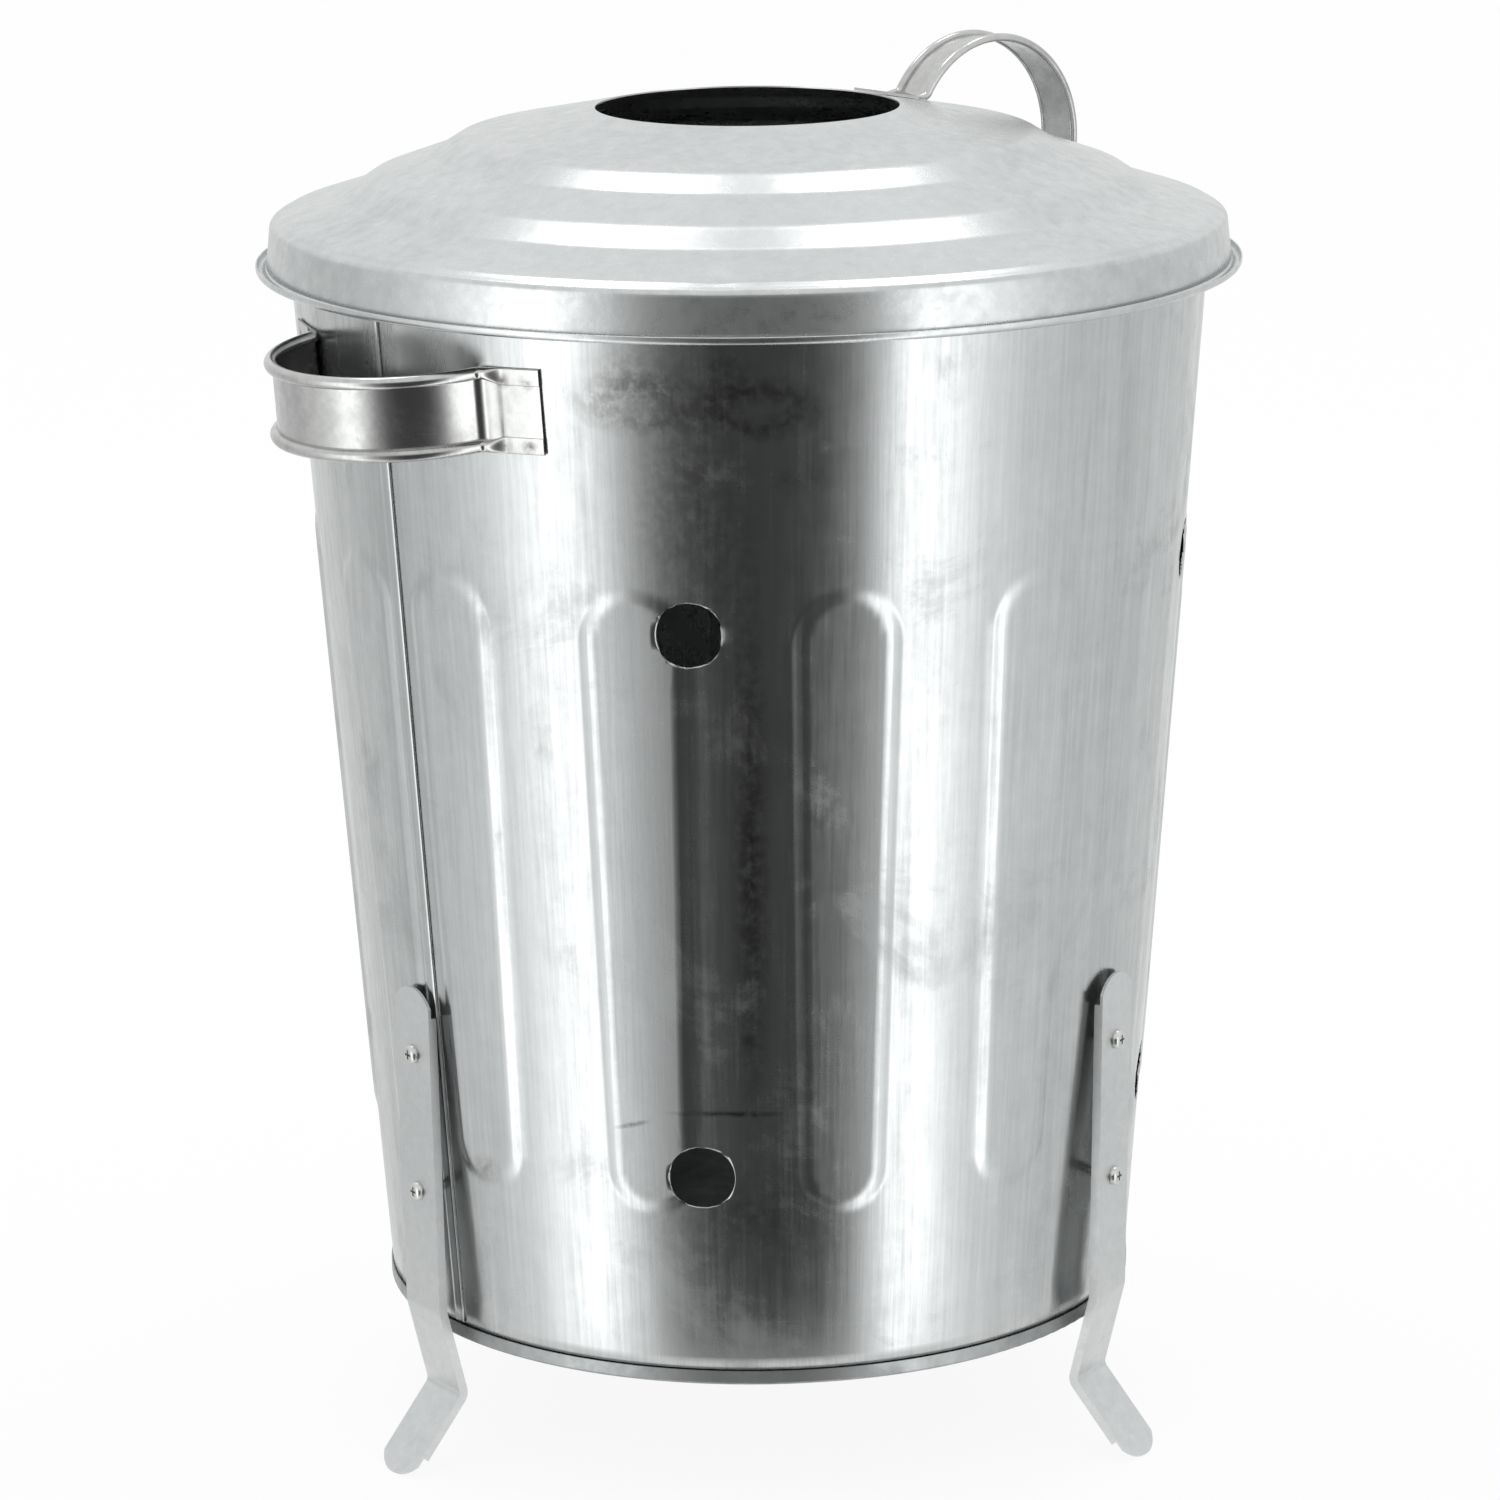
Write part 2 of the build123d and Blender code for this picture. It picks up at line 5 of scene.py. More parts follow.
import bpy
import numpy as np
from mathutils import Euler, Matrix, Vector


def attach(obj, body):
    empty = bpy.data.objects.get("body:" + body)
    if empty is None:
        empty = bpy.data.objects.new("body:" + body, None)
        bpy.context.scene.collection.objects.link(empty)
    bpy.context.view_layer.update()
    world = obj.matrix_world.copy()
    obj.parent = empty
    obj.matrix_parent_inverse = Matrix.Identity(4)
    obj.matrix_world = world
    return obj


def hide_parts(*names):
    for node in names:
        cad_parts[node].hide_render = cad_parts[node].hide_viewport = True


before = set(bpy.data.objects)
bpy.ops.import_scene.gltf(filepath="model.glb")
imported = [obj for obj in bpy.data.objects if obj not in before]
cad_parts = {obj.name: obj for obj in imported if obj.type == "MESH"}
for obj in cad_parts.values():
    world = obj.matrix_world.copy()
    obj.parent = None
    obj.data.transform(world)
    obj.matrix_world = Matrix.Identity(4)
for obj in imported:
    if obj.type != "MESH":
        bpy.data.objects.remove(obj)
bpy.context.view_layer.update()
MM = 0.001

# Sizes of the bin, millimetres
SHEET = 0.7
WALL_FOOT_Z, WALL_FOOT_R, WALL_SLOPE = 66.3, 184.85, 0.07365
RIM_R, RIM_Z, CURL_R = 226.64, 597.2, 3.15
LAP, LAP_STEP, LAP_RISE = 2.0, 0.4, 0.85
LAP_LOW, LAP_HIGH, LAP_ROWS = 74.0, 590.0, 60
SHEET_END = 0.1                         # degrees left free at each end of a sheet
FLUTES, FLUTE_PITCH, FLUTE_SHIFT = 7, 26.98, -0.46
FLUTE_TOP, FLUTE_FOOT = 452.5 - 20.7, 157.5 + 16.0
FLUTE_TOP_R, FLUTE_FOOT_R, FLUTE_BORDER, FLUTE_RISE = 20.7, 16.0, 6.0, 0.9
FLUTE_CELLS = [5, 6, 6, 6, 6, 5]        # mesh cells from one plain strip over the flute to the next
FLUTE_CORNER = 0.12                     # share of the border that is rounded at each of its edges
FLUTE_CROWN_REACH, FLUTE_REACH = 30.0, 40
VENT_R = 15.75
VENT_ZONE = 28                          # fine rows above and below a vent's middle
PUNCH_SHARES = (-1.7, -0.65, 0, 0.65, 1.7)      # grid lines taken for a hole, in its radii
PUNCH_BLOCKS = [2, 1, 0, 1, 2]          # 1 on the hole's outline, 2 where the grid is left as it was
VENTS = [(-47.2, 437.4), (-47.2, 170.9), (42.8, 437.4), (42.8, 170.9)]
LID = [
    (73.7, 652.0), (139.3, 639.4), (152.2, 631.4), (182.7, 620.8),
    (195.0, 612.4), (226.2, 602.6), (231.9, 599.4), (234.1, 578.6),
]
LID_BENDS = [14.0, 10.0, 14.0, 10.0, 6.0, 3.2]
GUTTER_R, GUTTER_CURL_R, GUTTER_CURL_RISE = 240.0, 1.1, 1.0
LID_SEGMENTS = 288
DENT_ANGLE, DENT_R, DENT_DEPTH, DENT_SPREAD = 317.0, 221, 0.8, 60.0
GROOVE_R, GROOVE_WIDTH, GROOVE_DEPTH, GROOVE_ABOVE = 228.3, 0.9, 0.35, 598
GRIP_Z, GRIP_HEIGHT, GRIP_SHEET, GRIP_SEAT = 538.0, 40.0, 1.0, 0.35
GRIP_LOOP_R, GRIP_LOOP_X, GRIP_BEND_R, GRIP_TAB_TURN = 64.0, 203.0, 7.0, 25.3
GRIP_BEAD_R, GRIP_BEAD_OUT = 3.0, 1.2
GRIP_HEM_WIDTH, GRIP_HEM_RISE, GRIP_FLARE = 8.0, 0.7, 2.6


def wall_radius(z):
    """Radius of the outer wall: it grows in proportion to the height."""
    return WALL_FOOT_R + WALL_SLOPE * (z - WALL_FOOT_Z)


# Mesh making

def grid_faces(rows, columns, wrap_rows=False, wrap_columns=False):
    """Quads between neighbouring points of a rows by columns grid, closed on itself where it wraps."""
    r = np.arange(rows if wrap_rows else rows - 1)
    c = np.arange(columns if wrap_columns else columns - 1)
    a, b = np.meshgrid(r, c, indexing="ij")
    a2, b2 = (a + 1) % rows, (b + 1) % columns
    corners = [a * columns + b, a * columns + b2, a2 * columns + b2, a2 * columns + b]
    return np.stack(corners, -1).reshape(-1, 4)


def make_piece(name, points, faces, body, node, sharp=40.0):
    """Mesh object from points in millimetres in place of a node, smooth but for edges over an angle."""
    mesh = bpy.data.meshes.new(name)
    faces = faces if isinstance(faces, list) else faces.tolist()
    mesh.from_pydata((np.asarray(points) * MM).tolist(), [], faces)
    mesh.validate()
    mesh.update()
    mesh.shade_smooth()
    mesh.set_sharp_from_angle(angle=radians(sharp))
    piece = bpy.data.objects.new(name, mesh)
    bpy.context.collection.objects.link(piece)
    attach(piece, body)
    if node:
        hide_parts(node)
    return piece


def compass_points(radius, angle, z):
    """Points at a radius and height, at a compass angle in degrees from -Y towards +X."""
    a = np.radians(angle)
    return np.stack([radius * np.sin(a), -radius * np.cos(a), np.broadcast_to(z, np.shape(a))], -1)


def bent_line(corners, bends, step=1.5):
    """Points along straight runs whose corners are rounded by arcs: each arc is tangent to both runs."""
    corners = np.asarray(corners, float)
    out = [corners[0]]
    for k, bend in enumerate(bends, start=1):
        before = corners[k - 1] - corners[k]
        after = corners[k + 1] - corners[k]
        u, v = before / np.linalg.norm(before), after / np.linalg.norm(after)
        half = np.arccos(np.clip(u @ v, -1, 1)) / 2
        start, end = corners[k] + u * bend / np.tan(half), corners[k] + v * bend / np.tan(half)
        centre = corners[k] + (u + v) / np.linalg.norm(u + v) * bend / np.sin(half)
        t = np.linspace(0, 1, max(4, int(bend * (np.pi - 2 * half) / 1.0)))[:, None]
        arc = centre + (start - centre) * (1 - t) + (end - centre) * t
        out.extend(centre + (arc - centre) / np.linalg.norm(arc - centre, axis=1)[:, None] * bend)
    out.append(corners[-1])
    out = np.array(out)
    length = np.r_[0, np.cumsum(np.linalg.norm(np.diff(out, axis=0), axis=1))]
    fine = np.unique(np.r_[length, np.arange(0, length[-1], step)])
    fine = fine[np.r_[True, np.diff(fine) > 0.05]]
    return np.stack([np.interp(fine, length, out[:, k]) for k in (0, 1)], -1)


def line_normals(line):
    """Unit vectors to the left of a line's run at each of its points."""
    run = np.gradient(line, axis=0)
    run /= np.linalg.norm(run, axis=1)[:, None]
    return np.stack([-run[:, 1], run[:, 0]], -1)


def sheet_loop(line, thickness, right=0.0):
    """Closed outline of a bent sheet: out along the line's left, then back on its right."""
    normal = line_normals(line)
    return np.concatenate([line + normal * (thickness - right), (line - normal * right)[::-1]])


def turned(loop, segments):
    """Points of a closed outline in radius and height, turned right round the axis."""
    angle = np.arange(segments) * 360.0 / segments
    radius, a = np.meshgrid(loop[:, 0], angle, indexing="ij")
    z, _ = np.meshgrid(loop[:, 1], angle, indexing="ij")
    return radius, a, z


# Body sheets

def crown_distance(u, z):
    """Distance outside a tapered slot: two circles of unlike radius joined by their common tangents."""
    h = FLUTE_TOP - FLUTE_FOOT
    x, y = np.abs(u), z - FLUTE_FOOT
    b = (FLUTE_FOOT_R - FLUTE_TOP_R) / h
    a = np.sqrt(1 - b * b)
    k = -b * x + a * y
    low = np.hypot(x, y) - FLUTE_FOOT_R
    high = np.hypot(x, y - h) - FLUTE_TOP_R
    side = a * x + b * y - FLUTE_FOOT_R
    return np.where(k < 0, low, np.where(k > a * h, high, side))


def flute_side(z, outside):
    """Half width of a flute a distance outside its crown, constant past the centres of its ends."""
    h = FLUTE_TOP - FLUTE_FOOT
    b = (FLUTE_FOOT_R - FLUTE_TOP_R) / h
    return (FLUTE_FOOT_R + outside - b * np.clip(z - FLUTE_FOOT, 0, h)) / np.sqrt(1 - b * b)


def column_angles(z, middle, start, end):
    """Compass angles of each row's points, which follow the flutes' sides so that borders lie on mesh lines."""
    radius = wall_radius(np.clip(z, FLUTE_FOOT, FLUTE_TOP))
    inner, outer = (np.degrees(flute_side(z, gap) / radius) for gap in (0, FLUTE_BORDER))
    knots = []
    for k in range(FLUTES):
        centre = middle + FLUTE_SHIFT + FLUTE_PITCH * (k - (FLUTES - 1) / 2)
        first = max(centre - FLUTE_PITCH / 2, start)
        knots += [first, centre - outer, centre - inner, centre, centre + inner, centre + outer]
    knots = np.stack([np.broadcast_to(knot, z.shape) for knot in knots + [end]], -1)
    marks = np.r_[0, np.cumsum(FLUTE_CELLS * FLUTES)]
    return np.array([np.interp(np.arange(marks[-1] + 1), marks, row) for row in knots])


def flute_rise(angle, z, middle):
    """Height of the pressed flutes above the wall: a crown flatter than the wall inside a sloped border."""
    rise = np.zeros(np.broadcast(angle, z).shape)
    for k in range(FLUTES):
        centre = middle + FLUTE_SHIFT + FLUTE_PITCH * (k - (FLUTES - 1) / 2)
        radius = wall_radius(z)
        u = np.radians(angle - centre) * radius
        gap = crown_distance(u, z) / FLUTE_BORDER
        ramp = np.clip(1 - gap, 0, 1)
        foot = ramp ** 2 / (2 * FLUTE_CORNER)
        brow = 1 - (1 - ramp) ** 2 / (2 * FLUTE_CORNER) - FLUTE_CORNER / 2
        soft = np.where(ramp > 1 - FLUTE_CORNER, brow, ramp - FLUTE_CORNER / 2)
        soft = np.where(ramp < FLUTE_CORNER, foot, soft) / (1 - FLUTE_CORNER / 2)
        crown = FLUTE_RISE + np.minimum(np.abs(u), FLUTE_CROWN_REACH) ** 2 / (4 * radius)
        rise = np.maximum(rise, crown * np.clip(soft, 0, 1) * (np.abs(u) < FLUTE_REACH))
    return rise


def punch(angle, z, holes):
    """Grid drawn round holes: a block of cells is the hole, its outline the circle, and cells round it blend."""
    inside = np.zeros((angle.shape[0] - 1, angle.shape[1] - 1), bool)
    rows, columns = np.indices(angle.shape)
    first_angle, first_z = angle.copy(), z.copy()
    for centre, height, radius in holes:
        scale = np.radians(1) * wall_radius(height)
        u, v = (first_angle - centre) * scale, first_z - height
        level = v[:, 0]
        across = u[np.argmin(np.abs(level))]
        near_rows, near_columns = (
            [np.argmin(np.abs(line - share * radius)) for share in PUNCH_SHARES]
            for line in (level, across)
        )
        block = np.maximum(
            np.interp(rows, near_rows, PUNCH_BLOCKS), np.interp(columns, near_columns, PUNCH_BLOCKS),
        )
        away = np.maximum(np.hypot(u, v), 1e-6)
        share = np.clip(2 - block, 0, 1)
        angle = np.where(block < 2, centre + u * (1 - share + share * radius / away) / scale, angle)
        z = np.where(block < 2, height + v * (1 - share + share * radius / away), z)
        inside[near_rows[1]:near_rows[3], near_columns[1]:near_columns[3]] = True
    return angle, z, ~inside.ravel()


def body_sheet(name, middle, node):
    """Half of the wall: a cone r = r0 + k z with flutes, and a lip curled round the rim wire."""
    start, end = middle - 90 - LAP + SHEET_END, middle + 90 - LAP - SHEET_END
    low, high = VENTS[1][1], VENTS[0][1]
    levels = [WALL_FOOT_Z, low - VENT_ZONE, low + VENT_ZONE, high - VENT_ZONE, high + VENT_ZONE, RIM_Z]
    heights = np.unique(np.concatenate([
        np.linspace(bottom, top, rows) for bottom, top, rows in zip(levels, levels[1:], (7, 37, 15, 37, 17))
    ]))
    a = column_angles(heights, middle, start, end)
    columns = a.shape[1]
    z = np.repeat(heights[:, None], columns, axis=1)
    a, z, kept = punch(a, z, [(middle + turn, height, VENT_R) for turn, height in VENTS])
    faces = grid_faces(len(heights), columns)[kept]
    radius = wall_radius(z) + flute_rise(a, z, middle)
    wall = compass_points(radius - SHEET / 2, a, z).reshape(-1, 3)
    turn = np.radians(np.linspace(180, -130, 26))[1:]
    curl_r, curl_a = np.meshgrid(RIM_R + CURL_R * np.cos(turn), a[-1], indexing="ij")
    curl_z, _ = np.meshgrid(RIM_Z + CURL_R * np.sin(turn), a[-1], indexing="ij")
    curl = compass_points(curl_r, curl_a, curl_z).reshape(-1, 3)
    joint = grid_faces(len(turn) + 1, columns) + (len(heights) - 1) * columns
    step = [end - LAP_STEP, end - LAP_STEP * 0.8, end - LAP_STEP * 0.2]
    band_angles = np.r_[step, np.linspace(end, middle + 90, 4)]
    band_rise = np.r_[0.0, LAP_RISE * 0.15, LAP_RISE * 0.85, np.full(4, LAP_RISE)]
    band_z, band_a = np.meshgrid(np.linspace(LAP_LOW, LAP_HIGH, LAP_ROWS), band_angles, indexing="ij")
    band = compass_points(wall_radius(band_z) + band_rise - SHEET / 2, band_a, band_z).reshape(-1, 3)
    band_faces = grid_faces(LAP_ROWS, len(band_angles)) + len(wall) + len(curl)
    points = np.concatenate([wall, curl, band])
    every = np.concatenate([faces, joint, band_faces])
    used = np.unique(every)
    place = np.zeros(len(points), int)
    place[used] = np.arange(len(used))
    piece = make_piece(name, points[used], place[every], "bin", node, sharp=60)
    thick = piece.modifiers.new("sheet", "SOLIDIFY")
    thick.thickness = SHEET * MM
    thick.offset = 0.0
    return piece


front_sheet = body_sheet("wall_front", 0.0, "body_sheet_front")
back_sheet = body_sheet("wall_back", 180.0, "body_sheet_back")


# Lid

def make_lid_piece():
    """Lid turned from one bent sheet line: steps, shoulder, skirt, gutter arc and a lip curled inwards."""
    line = bent_line(LID, LID_BENDS)
    foot = line[-1]
    lip = GUTTER_R
    centre = np.array([(foot[0] - SHEET + lip) / 2, foot[1]])
    reach = (lip - foot[0] + SHEET) / 2 - SHEET
    turn = np.radians(np.linspace(180, 360, 14))[1:]
    gutter = centre + np.stack([np.cos(turn), np.sin(turn)], -1) * reach
    curl_centre = gutter[-1] + (-(GUTTER_CURL_R - SHEET), GUTTER_CURL_RISE)
    turn = np.radians(np.linspace(0, 250, 14))
    curl = curl_centre + np.stack([np.cos(turn), np.sin(turn)], -1) * (GUTTER_CURL_R - SHEET)
    whole = np.concatenate([line - line_normals(line) * SHEET, gutter, curl])
    loop = sheet_loop(whole, SHEET)
    radius, a, z = turned(loop, LID_SEGMENTS)
    along = (a - DENT_ANGLE) * 3.9          # millimetres per degree at the dent
    dent = np.exp(-(along ** 2 + (radius - DENT_R) ** 2) / DENT_SPREAD)
    groove = np.exp(-((radius - GROOVE_R) / GROOVE_WIDTH) ** 2) * (z > GROOVE_ABOVE)
    z = z - DENT_DEPTH * dent - GROOVE_DEPTH * groove
    points = compass_points(radius, a, z).reshape(-1, 3)
    faces = grid_faces(len(loop), LID_SEGMENTS, wrap_rows=True, wrap_columns=True)
    return make_piece("lid_cover", points, faces, "lid", "lid", sharp=50)


lid_cover = make_lid_piece()


# Side handles

def grip_line():
    """Strap's middle line in plan from tab to tab, its outward normals and how flat its edges are."""
    tab_r = wall_radius(GRIP_Z) + GRIP_SEAT + GRIP_SHEET / 2
    far, near = tab_r + GRIP_BEND_R, GRIP_LOOP_R + GRIP_BEND_R
    tab_turn = np.arccos((GRIP_LOOP_X ** 2 + far ** 2 - near ** 2) / (2 * GRIP_LOOP_X * far))
    bend = far * np.array([np.cos(tab_turn), np.sin(tab_turn)])
    loop_turn = np.arctan2(bend[1], bend[0] - GRIP_LOOP_X)
    runs = [
        ((GRIP_LOOP_X, 0.0), GRIP_LOOP_R, np.linspace(0, loop_turn, 30), 1),
        (bend, GRIP_BEND_R, np.pi + np.linspace(loop_turn, tab_turn, 14)[1:], -1),
        ((0.0, 0.0), tab_r, np.linspace(tab_turn, radians(GRIP_TAB_TURN), 30)[1:], 1),
    ]
    line, normal, flat = [], [], []
    for centre, radius, turn, outward in runs:
        way = np.stack([np.cos(turn), np.sin(turn)], -1)
        line.append(centre + way * radius)
        normal.append(way * outward)
        past = (turn - tab_turn) / radians(GRIP_FLARE) if radius == tab_r else turn * 0
        flat.append(np.clip(past, 0, 1) ** 2 * (3 - 2 * np.clip(past, 0, 1)))
    line, normal, flat = np.concatenate(line), np.concatenate(normal), np.concatenate(flat)
    return (
        np.concatenate([line[:0:-1] * (1, -1), line]),
        np.concatenate([normal[:0:-1] * (1, -1), normal]),
        np.concatenate([flat[:0:-1], flat]),
    )


def grip_section(flat):
    """Closed section of the strap, out and up: round beads where flat is 0, thin hems where it is 1."""
    half_out = GRIP_BEAD_R + ((GRIP_SHEET + GRIP_HEM_RISE) / 2 - GRIP_BEAD_R) * flat
    half_rise = GRIP_BEAD_R + (GRIP_HEM_WIDTH / 2 - GRIP_BEAD_R) * flat
    middle_out = GRIP_BEAD_OUT + (GRIP_HEM_RISE / 2 - GRIP_BEAD_OUT) * flat
    square = 1 - 0.6 * flat
    start = 2 * np.pi - np.arccos(np.clip((-GRIP_SHEET / 2 - middle_out) / half_out, -1, 1))
    end = -np.arccos(np.clip((GRIP_SHEET / 2 - middle_out) / half_out, -1, 1))
    turn = np.linspace(start, end, 26)
    c, s = np.cos(turn), np.sin(turn)
    out = middle_out + half_out * np.sign(c) * np.abs(c) ** square
    rise = GRIP_HEIGHT / 2 - half_rise + half_rise * np.sign(s) * np.abs(s) ** square
    upper = np.stack([out, rise], -1)
    return np.concatenate([upper, upper[::-1] * (1, -1)])


def make_grip(name, side, node):
    """Side handle swept along its plan line in the wall's slope, with beads that run out flat on the tabs."""
    line, normal, flat = grip_line()
    section = np.array([grip_section(share) for share in flat])
    plan = line[:, None, :] + normal[:, None, :] * section[:, :, :1]
    lean = np.hypot(1, WALL_SLOPE)
    out, up = np.array([1, 0, -WALL_SLOPE]) / lean, np.array([WALL_SLOPE, 0, 1]) / lean
    origin = np.array([wall_radius(GRIP_Z), 0, GRIP_Z]) - out * wall_radius(GRIP_Z)
    points = origin + plan[..., :1] * out + plan[..., 1:] * (0, 1, 0) + section[:, :, 1:] * up
    rows, columns = section.shape[:2]
    faces = grid_faces(rows, columns, wrap_columns=True).tolist()
    faces += [list(range(columns))[::-1], list(range((rows - 1) * columns, rows * columns))]
    points = points.reshape(-1, 3) * (side, side, 1)
    return make_piece(name, points, faces, "bin", node, sharp=50)


grips = [make_grip("grip_right", 1, "side_handle_right"), make_grip("grip_left", -1, "side_handle_left")]


# Zinc finishes

MARK_RADIUS = 0.21          # metres: the wall's middle radius, which turns angles into arc lengths


class Nodes:
    """Small helper that adds nodes to a tree and links values by socket name."""

    def __init__(self, tree):
        self.tree = tree

    def add(self, kind, settings=None, **links):
        node = self.tree.nodes.new(kind)
        for key, value in (settings or {}).items():
            setattr(node, key, value)
        for key, value in links.items():
            self.put(node, key.replace("_", " "), value)
        return node

    def put(self, node, key, value):
        socket = node.inputs[int(key)] if str(key).isdigit() else node.inputs[key]
        if isinstance(value, bpy.types.NodeSocket):
            self.tree.links.new(value, socket)
        else:
            socket.default_value = value

    def math(self, operation, a, b=0.0, clamp=False):
        node = self.tree.nodes.new("ShaderNodeMath")
        node.operation = operation
        node.use_clamp = clamp
        self.put(node, "0", a)
        if len(node.inputs) > 1:
            self.put(node, "1", b)
        return node.outputs[0]

    def span(self, value, low, high, out_low, out_high):
        node = self.add("ShaderNodeMapRange")
        self.put(node, "Value", value)
        for key, limit in (("From Min", low), ("From Max", high), ("To Min", out_low), ("To Max", out_high)):
            self.put(node, key, limit)
        return node.outputs[0]

    def noise(self, place, scale, **settings):
        return self.add("ShaderNodeTexNoise", Vector=place, Scale=scale, **settings).outputs[0]

    def mix(self, factor, a, b):
        node = self.tree.nodes.new("ShaderNodeMix")
        node.data_type = "RGBA"
        self.put(node, "0", factor)
        self.put(node, "6", a)
        self.put(node, "7", b)
        return node.outputs[2]


def new_group(name, inputs, outputs):
    """Shader node group with named float inputs and outputs."""
    tree = bpy.data.node_groups.new(name, "ShaderNodeTree")
    for label, value in inputs:
        socket = tree.interface.new_socket(label, in_out="INPUT", socket_type="NodeSocketFloat")
        socket.default_value = value
    for label in outputs:
        tree.interface.new_socket(label, in_out="OUTPUT", socket_type="NodeSocketFloat")
    n = Nodes(tree)
    return tree, n, n.add("NodeGroupInput").outputs, n.add("NodeGroupOutput")


def spangle_group():
    """Mottled zinc crystals: cells of random brightness, broken by fine and coarse noise."""
    tree, n, given, out = new_group("zinc_spangle", [("Scale", 90.0)], ["Mottle", "Cells", "Cloud"])
    place = n.add("ShaderNodeTexCoord").outputs["Object"]
    fine = n.noise(place, given["Scale"], Detail=6.0, Roughness=0.62)
    cell_scale = n.math("MULTIPLY", given["Scale"], 2.4)
    cells = n.add("ShaderNodeTexVoronoi", {"feature": "F1"}, Vector=place, Scale=cell_scale)
    tone = n.add("ShaderNodeSeparateColor", Color=cells.outputs["Color"]).outputs[0]
    cloud = n.noise(place, n.math("MULTIPLY", given["Scale"], 0.11), Detail=4.0)
    n.put(out, "Mottle", n.span(fine, 0.3, 0.7, 0.0, 1.0))
    n.put(out, "Cells", tone)
    n.put(out, "Cloud", n.span(cloud, 0.35, 0.68, 0.0, 1.0))
    return tree


def streak_group():
    """Rolling marks that run up the sheet: noise by arc length round the axis, stretched along the height."""
    sizes = [("Fineness", 420.0), ("Stretch", 0.035)]
    tree, n, given, out = new_group("rolling_streaks", sizes, ["Streak", "Broad"])
    place = n.add("ShaderNodeTexCoord").outputs["Object"]
    part = n.add("ShaderNodeSeparateXYZ", Vector=place).outputs
    arc = n.math("MULTIPLY", n.math("ARCTAN2", part["Y"], part["X"]), MARK_RADIUS)
    along = n.math("MULTIPLY", part["Z"], given["Stretch"])
    flat = n.add("ShaderNodeCombineXYZ", X=arc, Y=along).outputs[0]
    fine = n.noise(flat, given["Fineness"], Detail=5.0, Roughness=0.6)
    broad = n.noise(flat, n.math("MULTIPLY", given["Fineness"], 0.16), Detail=3.0)
    n.put(out, "Streak", n.span(fine, 0.3, 0.7, 0.0, 1.0))
    n.put(out, "Broad", n.span(broad, 0.32, 0.68, 0.0, 1.0))
    return tree


def grime_group():
    """Handling marks: soft dark blots where noise rises over a threshold, finely broken at their edges."""
    sizes = [("Scale", 14.0), ("Amount", 0.5)]
    tree, n, given, out = new_group("handling_grime", sizes, ["Grime", "Scratch"])
    place = n.add("ShaderNodeTexCoord").outputs["Object"]
    blot = n.noise(place, given["Scale"], Detail=7.0, Roughness=0.66, Distortion=0.6)
    edge = n.math("SUBTRACT", 0.72, n.math("MULTIPLY", given["Amount"], 0.22))
    grime = n.span(blot, edge, n.math("ADD", edge, 0.12), 0.0, 1.0)
    squeeze = {"Scale": (9.0, 9.0, 150.0), "Rotation": (0.15, 0.1, 0.0)}
    squeezed = n.add("ShaderNodeMapping", Vector=place, **squeeze).outputs[0]
    hair = n.noise(squeezed, 1.0, Detail=3.0, Roughness=0.5)
    n.put(out, "Grime", grime)
    n.put(out, "Scratch", n.span(hair, 0.70, 0.78, 0.0, 1.0))
    return tree


def mark_group():
    """Mark at a compass angle and height: a ring, or a spot or line with no radius, worn by noise."""
    sizes = [
        ("Angle", 0.0), ("Height", 0.0), ("Radius", 0.0), ("Width", 0.003), ("Squash", 1.0), ("Tilt", 0.0),
    ]
    tree, n, given, out = new_group("placed_mark", sizes, ["Mask"])
    place = n.add("ShaderNodeTexCoord").outputs["Object"]
    part = n.add("ShaderNodeSeparateXYZ", Vector=place).outputs
    turn = n.math("ARCTAN2", part["X"], n.math("MULTIPLY", part["Y"], -1.0))
    arc = n.math("MULTIPLY", n.math("SUBTRACT", turn, given["Angle"]), MARK_RADIUS)
    level = n.math("SUBTRACT", part["Z"], given["Height"])
    level = n.math("SUBTRACT", level, n.math("MULTIPLY", arc, given["Tilt"]))
    across = n.math("MULTIPLY", arc, given["Squash"])
    squares = n.math("ADD", n.math("MULTIPLY", across, across), n.math("MULTIPLY", level, level))
    away = n.math("SQRT", squares)
    off = n.math("DIVIDE", n.math("ABSOLUTE", n.math("SUBTRACT", away, given["Radius"])), given["Width"])
    soft = n.math("SUBTRACT", 1.0, off, clamp=True)
    wear = n.noise(place, 170.0, Detail=5.0, Roughness=0.65)
    n.put(out, "Mask", n.math("MULTIPLY", soft, n.span(wear, 0.36, 0.58, 0.15, 1.0)))
    return tree


SPANGLE, STREAKS, GRIME, MARK = spangle_group(), streak_group(), grime_group(), mark_group()

# Marks and painted shade on the wall: compass angle, height, ring radius and width in millimetres, squash, tilt,
# strength
WALL_MARKS_AND_SHADE = [
    (-52.4, 545.5, 9.0, 8.0, 0.5, 0.0, 0.42), (-38.5, 543.5, 9.0, 8.0, 0.5, 0.0, 0.60),
    (-53.5, 556.0, 0.0, 24.0, 1.0, 0.0, 0.45), (-42.0, 560.0, 0.0, 20.0, 1.0, 0.0, 0.40),
    (-81.9, 160.6, 0.0, 9.0, 0.8, 0.0, 0.50), (-32.9, 510.6, 0.0, 9.0, 0.5, 0.0, 0.35),
    (-43.3, 203.3, 0.0, 2.0, 0.055, 0.0, 1.0), (-56.8, 196.2, 0.0, 1.8, 0.16, 0.24, 0.9),
    (-41.0, 150.0, 0.0, 34.0, 0.5, 0.0, 0.40), (-40.5, 240.0, 0.0, 5.0, 1.0, 0.0, 0.50),
    # The first mark on the next line, a tall narrow band at -39.8 degrees on the camera's line, is painted shade:
    # a painted dark reflection down the middle of the wall. The broad soft patch after it darkens the wall beside
    # that line.
    (-39.8, 330.0, 0.0, 170.0, 16.0, 0.0, 0.85), (-46.0, 500.0, 0.0, 110.0, 3.2, 0.0, 0.45),
]
